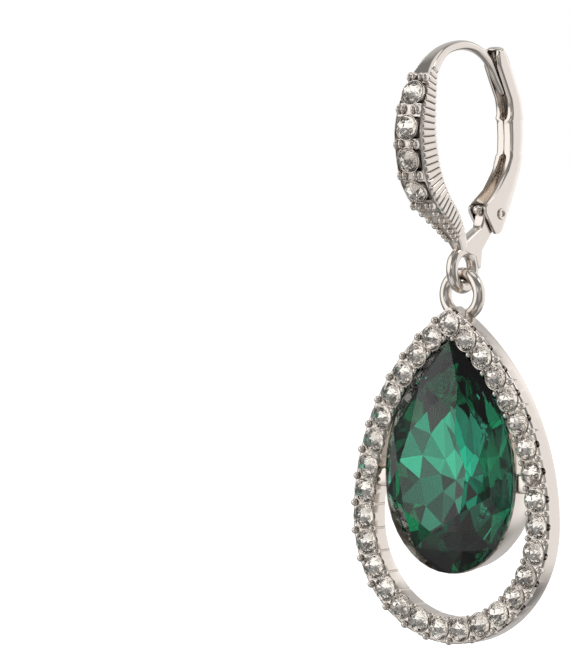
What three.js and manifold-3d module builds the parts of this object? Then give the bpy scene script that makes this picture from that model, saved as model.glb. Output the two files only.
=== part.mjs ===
// A leverback drop earring as it hangs when it is worn: an ear hook with a stone-set ribbed hoop,
// a lever that swings on a rivet, and a teardrop of small stones around one large pear-cut stone.
// Millimetres. +Z is up, the face looks along -Y, and the origin is inside the top of the ear wire.
import * as THREE from "three";
import { mergeVertices } from "three/addons/utils/BufferGeometryUtils.js";
import Module from "manifold-3d";

const wasm = await Module();
wasm.setup();

// Ear hook: the wire behind the arch, and the hoop in front of it
const wireDiameter = 0.8;
const wireReach = 5.75;
const wireDrop = 4.1;
const hoopReach = 6.27;
const hoopDrop = 17.0;
const hoopWidth = 3.2;
const hoopThickness = 2.3;
const hoopEdge = 0.35;
const ribPitch = 0.46;
const ribDepth = 0.12;

// Loop under the hoop, and the bail ring that hangs in it
const dropPlane = 0.1;
const loopHeight = 4.1;
const loopDepth = 3.85;
const loopWire = 1.05;
const bailDiameter = 4.55;
const bailWire = 1.05;
const linkGap = 0.12;

// Lever of folded sheet, its rivet and the lug that it turns on
const pivotBack = 4.25;
const pivotBelow = 13.6;
const leverHeight = 15.6;
const leverBelowPivot = 1.65;
const leverBow = 3.2;
const leverWidth = 1.9;
const leverWall = 0.3;
const leverSlotCorner = 0.02;
const webEnd = 1.0;
const sideGap = 0.1;
const lugRadius = 0.85;
const rivetDiameter = 0.7;
const rivetHead = 0.95;
const rivetHeadThickness = 0.12;
const rivetGap = 0.06;

// Halo of small stones: a half circle below, and two long arcs that meet in a point above
const haloWidth = 18.0;
const haloSideRadius = 19.4;
const haloInner = 1.03;
const haloOuter = 1.3;
const haloThickness = 1.75;
const haloFront = 1.8;
const haloBevel = 0.2;
const bailToHalo = 2.3;
const haloStones = 31;
const haloSteps = 16;

// Pear-cut stone and its cup
const pearWidth = 13.5;
const pearSideRadius = 13.4;
const pearEnd = 7.75;
const pearRise = 3.35;
const cupWall = 0.25;
const cupFront = 1.75;
const cupDepth = 4.1;
const cupTaper = 0.3;
const cupBackEdge = 1.3;
const cupTip = 0.03;
const pearCrown = 2.4;
const pearEdge = 0.3;
const pearPavilion = 3.3;
const pearSideSteps = 7;
const pearEndSteps = 10;
const barHeight = 1.6;
const barDepth = 1.3;

// Small stones, and the grains of metal that hold them
const haloStoneDiameter = 1.95;
const hookStoneDiameter = 1.95;
const stoneGap = 0.06;
const stoneLift = 0.1;
const seatClearance = 0.18;
const roundCut = { table: 0.55, star: 0.78, starHeight: 0.62, crown: 0.22, pavilion: 0.42, sides: 16 };
const pearCut = { table: 0.55, star: 0.86, starHeight: 0.6 };
const seatSides = 10;
const grainSides = 6;
const grainShape = { top: 0.8, shoulder: 0.5, shoulderRadius: 0.68 };
const haloGrain = 0.56;
const haloGrainInset = 0.32;
const hookGrain = 0.75;
const hookGrainSpread = 0.28;
const tailGrain = 0.55;

// The wire from its tip up to the arch. Reach and drop are shares of wireReach and wireDrop, and
// size is a share of wireDiameter.
const wireLine = [
  { reach: 1.0, drop: 1.0, size: 0.45 },
  { reach: 0.98, drop: 0.94, size: 0.88 },
  { reach: 0.83, drop: 0.66, size: 0.95 },
  { reach: 0.61, drop: 0.28, size: 1.0 },
  { reach: 0.33, drop: 0.07, size: 1.0 },
];

// The hoop from the arch down to the loop. Reach and drop are shares of hoopReach and hoopDrop, and
// width and thickness are shares of hoopWidth and hoopThickness.
const hoopLine = [
  { reach: 0.0, drop: 0.0, width: 0.29, thickness: 0.35 },
  { reach: 0.36, drop: 0.022, width: 0.35, thickness: 0.35 },
  { reach: 0.576, drop: 0.065, width: 0.45, thickness: 0.38 },
  { reach: 0.755, drop: 0.13, width: 0.6, thickness: 0.46 },
  { reach: 0.872, drop: 0.212, width: 0.79, thickness: 0.66 },
  { reach: 0.966, drop: 0.323, width: 0.94, thickness: 0.86 },
  { reach: 1.0, drop: 0.423, width: 1.0, thickness: 0.95 },
  { reach: 0.95, drop: 0.552, width: 1.0, thickness: 1.0 },
  { reach: 0.87, drop: 0.645, width: 1.0, thickness: 1.0 },
  { reach: 0.678, drop: 0.744, width: 0.93, thickness: 0.9 },
  { reach: 0.34, drop: 0.845, width: 0.72, thickness: 0.7 },
  { reach: 0.15, drop: 0.917, width: 0.52, thickness: 0.55 },
  { reach: 0.015, drop: 1.0, width: 0.33, thickness: 0.46 },
];
const ribsFrom = 0.13;
const ribsTo = 0.92;
const hookSeats = [0.25, 0.405, 0.543, 0.673];
const tailRows = [0.795, 0.835, 0.875];

// The lever from its lower corner to its tip. Up is a share of leverHeight, back and front are
// shares of leverBow behind the rivet, and width and slot are shares of leverWidth.
const leverLine = [
  { up: 0, back: -0.08, front: -0.23, width: 1, slot: 0.68 },
  { up: 0.016, back: 0.06, front: -0.3, width: 1, slot: 0.68 },
  { up: 0.112, back: 0.33, front: -0.66, width: 1, slot: 0.68 },
  { up: 0.144, back: 0.39, front: -0.67, width: 1, slot: 0.68 },
  { up: 0.234, back: 0.61, front: -0.14, width: 1, slot: 0.68 },
  { up: 0.337, back: 0.83, front: 0.28, width: 1, slot: 0.68 },
  { up: 0.413, back: 0.92, front: 0.46, width: 0.98, slot: 0.6 },
  { up: 0.44, back: 0.95, front: 0.47, width: 0.85, slot: 0.25 },
  { up: 0.516, back: 1.0, front: 0.48, width: 0.84, slot: 0.22 },
  { up: 0.6, back: 0.985, front: 0.44, width: 0.85, slot: 0.25 },
  { up: 0.625, back: 0.98, front: 0.41, width: 0.98, slot: 0.6 },
  { up: 0.721, back: 0.875, front: 0.25, width: 1, slot: 0.68 },
  { up: 0.817, back: 0.64, front: -0.04, width: 1, slot: 0.68 },
  { up: 0.894, back: 0.45, front: -0.2, width: 1, slot: 0.68 },
  { up: 0.958, back: 0.3, front: -0.12, width: 0.95, slot: 0.66 },
  { up: 1, back: 0.22, front: 0.05, width: 0.7, slot: 0.5 },
];

// Places that follow from the sizes
const archTop = wireDiameter / 2;
const loopTop = archTop - hoopDrop;
const loopCentre = loopTop - (loopHeight - loopWire) / 2;
const loopBottom = loopTop - (loopHeight - loopWire);
const swingAxis = loopBottom + (loopWire + bailWire) / 2 + linkGap;
const bailRadius = (bailDiameter - bailWire) / 2;
const bailCentre = swingAxis - bailRadius;
const haloSideShift = haloSideRadius - haloWidth / 2;
const haloRise = Math.sqrt(haloSideRadius ** 2 - haloSideShift ** 2);
const haloCentre = bailCentre - bailToHalo - haloRise;
const leverBottom = -pivotBelow - leverBelowPivot;

const metal = new THREE.MeshStandardMaterial({ color: 0xd8d2cb, metalness: 1, roughness: 0.14 });
const crystal = new THREE.MeshStandardMaterial({ color: 0xeef1f2, metalness: 0, roughness: 0.03 });
const emerald = new THREE.MeshStandardMaterial({ color: 0x1c7a55, metalness: 0, roughness: 0.04 });

const X = new THREE.Vector3(1, 0, 0);
const Y = new THREE.Vector3(0, 1, 0);
const Z = new THREE.Vector3(0, 0, 1);

// Turns what is drawn with Y to the right and Z up, so that it faces along X.
const upright = new THREE.Matrix4().makeBasis(Y, Z, X);

// A closed geometry as a solid that can be joined and cut.
function solid(geometry) {
  const bare = new THREE.BufferGeometry();
  bare.setAttribute("position", geometry.getAttribute("position"));
  bare.setIndex(geometry.index);
  const merged = mergeVertices(bare, 1e-4);
  return new wasm.Manifold(
    new wasm.Mesh({
      numProp: 3,
      vertProperties: merged.attributes.position.array,
      triVerts: new Uint32Array(merged.index.array),
    }),
  );
}

// A solid as a geometry that a mesh can show.
function geometryOf(made) {
  const mesh = made.getMesh();
  const geometry = new THREE.BufferGeometry();
  geometry.setAttribute("position", new THREE.BufferAttribute(mesh.vertProperties, 3));
  geometry.setIndex(new THREE.BufferAttribute(mesh.triVerts, 1));
  return geometry;
}

// A geometry from vectors and triples of their numbers.
function facets(points, triangles) {
  const geometry = new THREE.BufferGeometry().setFromPoints(points);
  geometry.setIndex(triangles.flat());
  return geometry;
}

// A closed geometry through rings of equal length. Each ring runs counter-clockwise for someone who
// looks from the first ring towards the last.
function loft(rings) {
  const count = rings[0].length;
  const last = (rings.length - 1) * count;
  const triangles = [];
  for (let start = 0; start < last; start += count) {
    for (let k = 0; k < count; k++) {
      const next = (k + 1) % count;
      triangles.push([start + k, start + count + k, start + count + next]);
      triangles.push([start + k, start + count + next, start + next]);
    }
  }
  for (let k = 1; k < count - 1; k++) {
    triangles.push([0, k, k + 1]);
    triangles.push([last, last + k + 1, last + k]);
  }
  return facets(rings.flat(), triangles);
}

// A rectangle with cut corners around a centre, as a ring for a loft.
function cutRectangle(centre, u, v, halfU, halfV, cut) {
  const corners = [
    [halfU, cut - halfV],
    [halfU, halfV - cut],
    [halfU - cut, halfV],
    [cut - halfU, halfV],
    [-halfU, halfV - cut],
    [-halfU, cut - halfV],
    [cut - halfU, -halfV],
    [halfU - cut, -halfV],
  ];
  return corners.map(([a, b]) => centre.clone().addScaledVector(u, a).addScaledVector(v, b));
}

// A mid-line for the hook, with the width and thickness that its section has along it.
function hookLine() {
  const rows = [
    ...wireLine.map((row) => ({
      at: new THREE.Vector3(0, row.reach * wireReach, archTop - row.drop * wireDrop),
      width: row.size * wireDiameter,
      thickness: row.size * wireDiameter,
    })),
    ...hoopLine.map((row) => ({
      at: new THREE.Vector3(0, -row.reach * hoopReach, archTop - row.drop * hoopDrop),
      width: row.width * hoopWidth,
      thickness: row.thickness * hoopThickness,
    })),
  ];
  const curve = new THREE.CatmullRomCurve3(rows.map((row) => row.at), false, "centripetal");
  curve.arcLengthDivisions = 600;
  const length = curve.getLength();

  // The frame and section at a distance from the wire's tip.
  function sectionAt(distance) {
    const t = curve.getUtoTmapping(distance / length);
    const place = t * (rows.length - 1);
    const row = Math.min(Math.floor(place), rows.length - 2);
    const along = curve.getTangent(t);
    return {
      centre: curve.getPoint(t),
      along,
      outward: new THREE.Vector3().crossVectors(along, X),
      width: THREE.MathUtils.lerp(rows[row].width, rows[row + 1].width, place - row),
      thickness: THREE.MathUtils.lerp(rows[row].thickness, rows[row + 1].thickness, place - row),
    };
  }

  // The distance at which the hoop has come down by a share of its drop.
  function distanceAt(share) {
    const step = length / 2000;
    let distance = length;
    while (sectionAt(distance).centre.z < archTop - share * hoopDrop) distance -= step;
    return distance;
  }
  return { length, sectionAt, distanceAt };
}

const line = hookLine();

// A geometry that faces -Y, turned to face along an outward direction in the YZ plane and moved.
function placeOn(geometry, outward, at) {
  const tilt = -Math.atan2(outward.z, -outward.y);
  return geometry.clone().rotateX(tilt).translate(at.x, at.y, at.z);
}

// A grain of metal that faces -Y, with a root that sinks into the metal behind it.
function grain(diameter, root) {
  const radius = diameter / 2;
  const profile = [
    new THREE.Vector2(0, -radius * grainShape.top),
    new THREE.Vector2(radius * grainShape.shoulderRadius, -radius * grainShape.shoulder),
    new THREE.Vector2(radius, 0),
    new THREE.Vector2(radius, root),
    new THREE.Vector2(0, root),
  ];
  return new THREE.LatheGeometry(profile, grainSides);
}

// A round seat that opens to -Y for a stone whose girdle lies a lift in front of the face.
function seat(stoneDiameter) {
  const radius = stoneDiameter / 2;
  const depth = roundCut.pavilion * stoneDiameter;
  const widen = 1 / Math.cos(Math.PI / seatSides);
  const front = (radius + stoneGap) * widen;
  const length = depth + seatClearance;
  return new THREE.CylinderGeometry(stoneGap * widen, front, length, seatSides)
    .translate(0, length / 2 - stoneLift, 0);
}

// A cut stone that faces -Y, with its girdle's front edge at Y 0. The girdle is a ring of points
// counter-clockwise from the front, with two for each kite facet.
function cutStone(girdle, { table, star, starHeight, crown, edge, pavilion }) {
  const count = girdle.length;
  const kites = count / 2;
  const points = [];
  const add = (point, share, y) => points.push(new THREE.Vector3(point.x * share, y, point.y * share)) - 1;
  const tables = Array.from({ length: kites }, (_, j) => add(girdle[2 * j], table, -crown));
  const stars = Array.from({ length: kites }, (_, j) => add(girdle[2 * j + 1], star, -crown * starHeight));
  const fronts = girdle.map((point) => add(point, 1, 0));
  const backs = edge > 0 ? girdle.map((point) => add(point, 1, edge)) : fronts;
  const culet = add(girdle[0], 0, edge + pavilion);
  const triangles = [];
  for (let j = 1; j < kites - 1; j++) triangles.push([tables[0], tables[j], tables[j + 1]]);
  for (let j = 0; j < kites; j++) {
    const before = stars[(j + kites - 1) % kites];
    const main = fronts[2 * j];
    const half = fronts[2 * j + 1];
    const after = fronts[(2 * j + 2) % count];
    triangles.push([tables[j], stars[j], tables[(j + 1) % kites]]);
    triangles.push([tables[j], before, main], [tables[j], main, stars[j]]);
    triangles.push([stars[j], main, half], [stars[j], half, after]);
  }
  for (let k = 0; k < count; k++) {
    const next = (k + 1) % count;
    if (edge > 0) {
      triangles.push([fronts[k], backs[k], backs[next]], [fronts[k], backs[next], fronts[next]]);
    }
    triangles.push([backs[k], culet, backs[next]]);
  }
  return facets(points, triangles);
}

// A round stone of a diameter.
function roundStone(diameter) {
  const girdle = Array.from({ length: roundCut.sides }, (_, k) => {
    const angle = (k / roundCut.sides) * 2 * Math.PI;
    return new THREE.Vector2(Math.cos(angle), Math.sin(angle)).multiplyScalar(diameter / 2);
  });
  const crown = roundCut.crown * diameter;
  return cutStone(girdle, { ...roundCut, crown, edge: 0, pavilion: roundCut.pavilion * diameter });
}

// The pear's outline, inset from the cup's outside, counter-clockwise from its tip.
function pearOutline(inset) {
  const shift = pearSideRadius - pearWidth / 2;
  const side = pearSideRadius - inset;
  const tip = Math.acos(shift / side);
  const half = pearWidth / 2 - inset;
  const arc = (step) => {
    const angle = tip * (1 - step / pearSideSteps);
    return [side * Math.cos(angle) - shift, side * Math.sin(angle)];
  };
  const points = [];
  for (let step = 0; step < pearSideSteps; step++) {
    points.push(new THREE.Vector2(-arc(step)[0], arc(step)[1]));
  }
  for (let step = 0; step < pearEndSteps; step++) {
    const angle = (step / pearEndSteps) * Math.PI;
    points.push(new THREE.Vector2(-half * Math.cos(angle), (inset - pearEnd) * Math.sin(angle)));
  }
  for (let step = pearSideSteps; step > 0; step--) points.push(new THREE.Vector2(...arc(step)));
  return points;
}

// A pear outline as a ring for a loft, at a depth behind the drop's plane.
function pearRing(inset, depth, share = 1) {
  return pearOutline(inset).map((point) => {
    return new THREE.Vector3(point.x * share, depth, point.y * share + pearRise);
  });
}

// The halo's stone line grown outwards, from its tip down the right side and round, clockwise.
function haloOutline(grow, steps) {
  const side = haloSideRadius + grow;
  const turn = haloWidth / 2 + grow;
  const tip = Math.acos(haloSideShift / side);
  const points = [];
  for (let step = 0; step < steps; step++) {
    const angle = tip * (1 - step / steps);
    points.push(new THREE.Vector2(side * Math.cos(angle) - haloSideShift, side * Math.sin(angle)));
  }
  for (let step = 0; step < steps; step++) {
    const angle = (step / steps) * Math.PI;
    points.push(new THREE.Vector2(turn * Math.cos(angle), -turn * Math.sin(angle)));
  }
  for (let step = steps; step > 0; step--) {
    const angle = tip * (1 - step / steps);
    points.push(new THREE.Vector2(haloSideShift - side * Math.cos(angle), side * Math.sin(angle)));
  }
  return points;
}

// The point and outward direction at a share of the way round the halo's stone line, from its tip.
function haloAt(share) {
  const tip = Math.acos(haloSideShift / haloSideRadius);
  const sideLength = tip * haloSideRadius;
  const endLength = (Math.PI * haloWidth) / 2;
  const distance = (((share % 1) + 1) % 1) * (2 * sideLength + endLength);
  const left = distance > sideLength + endLength / 2;
  const down = left ? 2 * sideLength + endLength - distance : distance;
  const mirror = left ? -1 : 1;
  const onSide = down < sideLength;
  const radius = onSide ? haloSideRadius : haloWidth / 2;
  const angle = onSide ? tip - down / haloSideRadius : -(down - sideLength) / (haloWidth / 2);
  const shift = onSide ? haloSideShift : 0;
  const at = new THREE.Vector2(mirror * (radius * Math.cos(angle) - shift), radius * Math.sin(angle));
  return { at, outward: new THREE.Vector2(mirror * Math.cos(angle), Math.sin(angle)) };
}

// The hoop and wire as one swept bar, with ribs across the hoop's sides.
function hookBar() {
  const from = line.distanceAt(ribsFrom);
  const to = line.distanceAt(ribsTo);
  const ribs = Math.round((to - from) / ribPitch);
  const plain = wireDiameter;
  const stops = [];
  const before = Math.ceil(from / plain);
  const after = Math.ceil((line.length - to) / plain);
  for (let step = 0; step < before; step++) stops.push([(from * step) / before, 0]);
  for (let half = 0; half <= 2 * ribs; half++) {
    stops.push([from + ((to - from) * half) / (2 * ribs), half % 2 ? 0 : ribDepth]);
  }
  for (let step = 1; step <= after; step++) stops.push([to + ((line.length - to) * step) / after, 0]);
  return loft(
    stops.map(([distance, groove]) => {
      const { centre, outward, width, thickness } = line.sectionAt(distance);
      const cut = Math.min(hoopEdge, 0.29 * Math.min(width, thickness));
      return cutRectangle(centre, outward, X, thickness / 2, width / 2 - groove, cut);
    }),
  );
}

// The lug that the lever turns on, from the loop up to the rivet, with a small nose in front.
function lugSolid() {
  const shape = new THREE.Shape();
  const rivet = new THREE.Vector2(pivotBack, -pivotBelow);
  const foot = new THREE.Vector2(dropPlane, loopTop);
  shape.moveTo(foot.x - loopWire / 2, foot.y);
  shape.lineTo(foot.x + loopDepth / 2, foot.y - loopWire / 2);
  shape.lineTo(rivet.x - lugRadius * 0.5, rivet.y - lugRadius * 1.5);
  shape.absarc(rivet.x, rivet.y, lugRadius, -Math.PI / 4, Math.PI / 2, false);
  shape.lineTo(rivet.x - lugRadius * 2.3, rivet.y + lugRadius);
  shape.lineTo(rivet.x - lugRadius * 2.9, rivet.y + lugRadius * 0.6);
  shape.lineTo(rivet.x - lugRadius * 2.9, rivet.y - lugRadius);
  shape.lineTo(foot.x, foot.y + lugRadius);
  const width = leverWidth - 2 * leverWall - 2 * sideGap;
  const geometry = new THREE.ExtrudeGeometry(shape, { depth: width, bevelEnabled: false, curveSegments: 5 });
  return solid(geometry.translate(0, 0, -width / 2).applyMatrix4(upright));
}

// A round bar along X through the rivet.
function rivetBar(diameter, length, sides) {
  return new THREE.CylinderGeometry(diameter / 2, diameter / 2, length, sides)
    .rotateZ(Math.PI / 2)
    .translate(0, pivotBack, -pivotBelow);
}

// The places of the hook's stones, each with its outward direction.
function hookSeatPlaces() {
  return hookSeats.map((share) => {
    const { centre, outward, thickness } = line.sectionAt(line.distanceAt(share));
    return { outward, at: centre.clone().addScaledVector(outward, thickness / 2 + stoneLift) };
  });
}

// Pairs of grains across the hoop at a distance along it.
function grainPair(distance, diameter) {
  const { centre, outward, width, thickness } = line.sectionAt(distance);
  return [-1, 1].map((side) => {
    const at = centre.clone().addScaledVector(outward, thickness / 2);
    at.x = side * width * hookGrainSpread;
    return solid(placeOn(grain(diameter, thickness / 3), outward, at));
  });
}

function earHook() {
  let hook = solid(hookBar());
  for (const { at, outward } of hookSeatPlaces()) {
    hook = hook.subtract(solid(placeOn(seat(hookStoneDiameter), outward, at)));
  }
  const distances = hookSeats.map(line.distanceAt);
  const half = (distances[1] - distances[0]) / 2;
  const between = distances.slice(1).map((distance, k) => (distance + distances[k]) / 2);
  for (const distance of [distances[0] - half, ...between, distances.at(-1) + half]) {
    for (const piece of grainPair(distance, hookGrain)) hook = hook.add(piece);
  }
  for (const share of tailRows) {
    for (const piece of grainPair(line.distanceAt(share), tailGrain)) hook = hook.add(piece);
  }
  const loop = new THREE.TorusGeometry((loopHeight - loopWire) / 2, loopWire / 2, 6, 16)
    .scale((loopDepth - loopWire) / (loopHeight - loopWire), 1, 1);
  const bore = rivetBar(rivetDiameter + 2 * rivetGap, leverWidth, seatSides);
  const ring = loop.applyMatrix4(upright).translate(0, dropPlane, loopCentre);
  return hook.add(solid(ring)).add(lugSolid()).subtract(solid(bore));
}

// The lever's outside or its slot, as rings of one width column.
function leverRings(rows, column, frontGrow, backShrink, corner) {
  return rows.map((row) => {
    const back = pivotBack + row.back * leverBow - backShrink;
    const front = pivotBack + row.front * leverBow - frontGrow;
    const centre = new THREE.Vector3(0, (back + front) / 2, leverBottom + row.up * leverHeight);
    const half = (row[column] * leverWidth) / 2;
    return cutRectangle(centre, Y, X, (back - front) / 2, half, corner);
  });
}

function lever() {
  const slotRows = leverLine.slice(1, -1);
  slotRows[0] = { ...slotRows[0], up: -leverWall / leverHeight };
  const open = new THREE.BoxGeometry(leverLine[0].slot * leverWidth, 3 * leverBow, leverBelowPivot + webEnd)
    .translate(0, pivotBack, leverBottom + (leverBelowPivot + webEnd) / 2 - leverWall / 2);
  return solid(loft(leverRings(leverLine, "width", 0, 0, leverWall / 3)))
    .subtract(solid(loft(leverRings(slotRows, "slot", leverWall * 2, leverWall, leverSlotCorner))))
    .subtract(solid(open))
    .subtract(solid(rivetBar(rivetDiameter + 2 * rivetGap, leverWidth * 2, seatSides)));
}

function hingePin() {
  const shank = rivetBar(rivetDiameter, leverWidth + 2 * sideGap, seatSides);
  const head = rivetBar(rivetHead, rivetHeadThickness, seatSides);
  const outside = leverWidth / 2 + rivetGap + rivetHeadThickness / 2;
  return [-1, 1].reduce(
    (pin, side) => pin.add(solid(head.clone().translate(side * outside, 0, 0))),
    solid(shank),
  );
}

// The band of the halo, with a seat for each stone and two grains between each two stones.
function haloBand() {
  const shape = new THREE.Shape(haloOutline(haloOuter, haloSteps));
  shape.holes.push(new THREE.Path(haloOutline(-haloInner, haloSteps).reverse()));
  const depth = haloThickness - 2 * haloBevel;
  const extruded = new THREE.ExtrudeGeometry(shape, {
    depth,
    bevelThickness: haloBevel,
    bevelSize: haloBevel,
    bevelOffset: -haloBevel,
    bevelSegments: 1,
  });
  let band = solid(extruded.rotateX(Math.PI / 2).translate(0, haloBevel + depth - haloFront, 0));
  const hole = seat(haloStoneDiameter);
  const bead = grain(haloGrain, haloThickness / 3);
  const cuts = [];
  const beads = [];
  for (let k = 0; k < haloStones; k++) {
    const { at } = haloAt(k / haloStones);
    cuts.push(solid(hole.clone().translate(at.x, -haloFront - stoneLift, at.y)));
    const { at: between, outward } = haloAt((k + 0.5) / haloStones);
    for (const side of [haloOuter - haloGrainInset, haloGrainInset - haloInner]) {
      const spot = between.clone().addScaledVector(outward, side);
      beads.push(solid(bead.clone().translate(spot.x, -haloFront, spot.y)));
    }
  }
  for (const cut of cuts) band = band.subtract(cut);
  for (const one of beads) band = band.add(one);
  return band;
}

// The cup that holds the pear-cut stone, closed behind.
function cup() {
  const outside = loft([
    pearRing(0, -cupFront),
    pearRing(cupTaper, cupDepth - cupFront - cupTaper - cupBackEdge / 2),
    pearRing(cupBackEdge, cupDepth - cupFront),
  ]);
  const inside = loft([
    pearRing(cupWall, -cupFront - cupWall),
    pearRing(cupWall, pearEdge - cupFront + stoneGap),
    pearRing(cupWall, pearEdge + pearPavilion - cupFront + seatClearance, cupTip),
  ]);
  return solid(outside).subtract(solid(inside));
}

function pendantFrame() {
  const inner = haloWidth / 2 - haloInner;
  const reach = inner - pearWidth / 2 + haloInner / 4 + cupWall;
  const bar = new THREE.BoxGeometry(reach, barDepth, barHeight);
  const barCentre = pearWidth / 2 - cupWall + reach / 2;
  const bail = new THREE.TorusGeometry(bailRadius, bailWire / 2, 6, 16).rotateX(Math.PI / 2);
  const barBack = barDepth / 2 - cupFront + cupWall;
  let frame = haloBand().add(solid(bail.translate(0, 0, bailCentre - haloCentre)));
  for (const side of [-1, 1]) {
    frame = frame.add(solid(bar.clone().translate(side * barCentre, barBack, pearRise)));
  }
  return frame.add(cup());
}

const earring = new THREE.Group();
const drop = new THREE.Group();
drop.position.set(0, dropPlane, haloCentre);
earring.add(drop);

function put(group, name, geometry, material) {
  const mesh = new THREE.Mesh(geometry, material);
  mesh.name = name;
  group.add(mesh);
  return mesh;
}

put(earring, "ear_hook", geometryOf(earHook()), metal);
put(earring, "lever", geometryOf(lever()), metal);
put(earring, "hinge_pin", geometryOf(hingePin()), metal);
hookSeatPlaces().forEach(({ at, outward }, k) => {
  put(earring, `hook_stone_${k + 1}`, placeOn(roundStone(hookStoneDiameter), outward, at), crystal);
});
put(drop, "pendant_frame", geometryOf(pendantFrame()), metal);
const pear = cutStone(pearOutline(cupWall + stoneGap), {
  ...pearCut,
  crown: pearCrown,
  edge: pearEdge,
  pavilion: pearPavilion,
});
put(drop, "pear_stone", pear, emerald).position.set(0, -cupFront, pearRise);
for (let k = 0; k < haloStones; k++) {
  const { at } = haloAt(k / haloStones);
  const name = `halo_stone_${String(k + 1).padStart(2, "0")}`;
  put(drop, name, roundStone(haloStoneDiameter), crystal).position.set(at.x, -haloFront - stoneLift, at.y);
}

export default earring;
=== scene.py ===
"""A leverback drop earring with a teardrop halo of small stones around one large green stone."""
import math
import random
import bmesh
import bpy
from bpy.props import FloatProperty, FloatVectorProperty, IntProperty, PointerProperty
from mathutils import Matrix, Vector


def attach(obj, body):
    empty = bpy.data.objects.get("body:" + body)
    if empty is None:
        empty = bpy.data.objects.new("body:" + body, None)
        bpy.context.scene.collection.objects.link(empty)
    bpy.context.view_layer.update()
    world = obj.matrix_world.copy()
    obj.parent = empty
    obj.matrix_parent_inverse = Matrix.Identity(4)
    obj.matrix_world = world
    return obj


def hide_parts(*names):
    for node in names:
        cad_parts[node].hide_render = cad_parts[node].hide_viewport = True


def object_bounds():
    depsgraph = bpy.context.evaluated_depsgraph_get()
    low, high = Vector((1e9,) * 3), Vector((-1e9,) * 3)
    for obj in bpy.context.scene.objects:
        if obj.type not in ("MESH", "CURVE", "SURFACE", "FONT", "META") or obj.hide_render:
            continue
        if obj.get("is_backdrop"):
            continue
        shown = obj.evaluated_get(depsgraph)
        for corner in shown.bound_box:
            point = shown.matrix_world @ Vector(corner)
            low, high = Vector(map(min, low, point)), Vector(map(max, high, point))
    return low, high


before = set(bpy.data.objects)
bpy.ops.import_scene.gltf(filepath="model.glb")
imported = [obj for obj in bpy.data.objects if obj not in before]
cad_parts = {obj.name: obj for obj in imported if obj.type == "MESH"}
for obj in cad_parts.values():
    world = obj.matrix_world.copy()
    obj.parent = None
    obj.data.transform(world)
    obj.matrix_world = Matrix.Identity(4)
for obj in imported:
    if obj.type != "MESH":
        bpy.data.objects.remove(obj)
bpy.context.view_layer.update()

bl_info = {
    "name": "Teardrop earring",
    "blender": (4, 5, 0),
    "version": (1, 0, 0),
    "location": "View3D > Sidebar > Earring",
    "description": "Dresses a leverback drop earring with polished metal and cut stones",
    "category": "Object",
}

MM = 0.001


def table(columns, *rows):
    """Rows of values with named columns."""
    return [dict(zip(columns.split(", "), row)) for row in rows]


# The wire and the hoop, as shares of their own reach, drop, width and thickness
WIRE_LINE = table(
    "reach, drop, size",
    (1.0, 1.0, 0.45),
    (0.98, 0.94, 0.88),
    (0.83, 0.66, 0.95),
    (0.61, 0.28, 1.0),
    (0.33, 0.07, 1.0),
)
HOOP_LINE = table(
    "reach, drop, width, thickness",
    (0.0, 0.0, 0.29, 0.35),
    (0.36, 0.022, 0.35, 0.35),
    (0.576, 0.065, 0.45, 0.38),
    (0.755, 0.13, 0.6, 0.46),
    (0.872, 0.212, 0.79, 0.66),
    (0.966, 0.323, 0.94, 0.86),
    (1.0, 0.423, 1.0, 0.95),
    (0.95, 0.552, 1.0, 1.0),
    (0.87, 0.645, 1.0, 1.0),
    (0.678, 0.744, 0.93, 0.9),
    (0.34, 0.845, 0.72, 0.7),
    (0.15, 0.917, 0.52, 0.55),
    (0.015, 1.0, 0.33, 0.46),
)

# One rib, as pairs of a place along it and the groove's depth there
RIB_SHAPE = [(0.0, 1.0), (0.07, 0.62), (0.15, 0.32), (0.28, 0.1),
             (0.5, 0.0), (0.72, 0.1), (0.85, 0.32), (0.93, 0.62)]

# Places down the hoop, as shares of its drop
RIBS_FROM = 0.13
RIBS_TO = 0.92
HOOK_SEATS = [0.25, 0.405, 0.543, 0.673]
TAIL_ROWS = [0.772, 0.806, 0.838, 0.868, 0.895, 0.92]

# The hoop's section: round up to one width and fully square from another, in millimetres, with a
# crowned front and a flatter back. From -1 to 1 across it and up to its front, grooves come in between
# two places on its sides and fade between two near its front. On its back they are shallower.
ROUND_WIDTH = 0.85
SQUARE_WIDTH = 2.05
FRONT_SQUARENESS = 2.6
BACK_SQUARENESS = 5.5
GROOVE_SIDES = (0.5, 0.8)
GROOVE_FRONT = (0.85, 0.65)
GROOVE_BACK = -0.6
BACK_GROOVE_DEPTH = 0.35
BAR_POINTS = 48

# How far the grains stand from the hoop's mid-line, as shares of its width there, and the share of its
# greatest width from which the tail's grains get smaller
GRAIN_SPREAD = 0.25
TAIL_SPREAD = 0.24
TAIL_WIDTH = 0.6

# Steps of the pear's outline along a side and round its end, and the stone's place inside the cup's outline
CUP_STEPS = (24, 40)
PEAR_STEPS = (14, 20)
PEAR_INSET = 0.05 * MM

# The hollow behind the large stone, as shares of the cup's outline and of the stone's depth
CUP_CAVITY = [(0.98, 0.1), (0.88, 0.4), (0.62, 0.76), (0.32, 1.0), (0.05, 1.08)]

# Tones of the foil facets, from dark to bright: painted shade and painted light on the facets, in place of
# the sparkle that a cut stone reflects
CRYSTAL_TONES = [0.4, 0.65, 0.85, 1.0, 1.0, 1.0]
EMERALD_TONES = [0.05, 0.25, 0.45, 0.55, 0.65, 0.8, 0.95]

# A round stone's layers of corners: radius and height are shares of its radius, and a turn of 1 puts the
# corners between those of a turn of 0. Its tip is below them.
ROUND_CUT = table(
    "corners, radius, height, turn",
    (8, 0.52, 0.42, 0),
    (8, 0.78, 0.275, 1),
    (16, 1.0, 0.0, 0),
    (16, 1.0, -0.06, 0),
    (8, 0.5, -0.56, 0),
)
ROUND_TIP = -0.84

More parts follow.
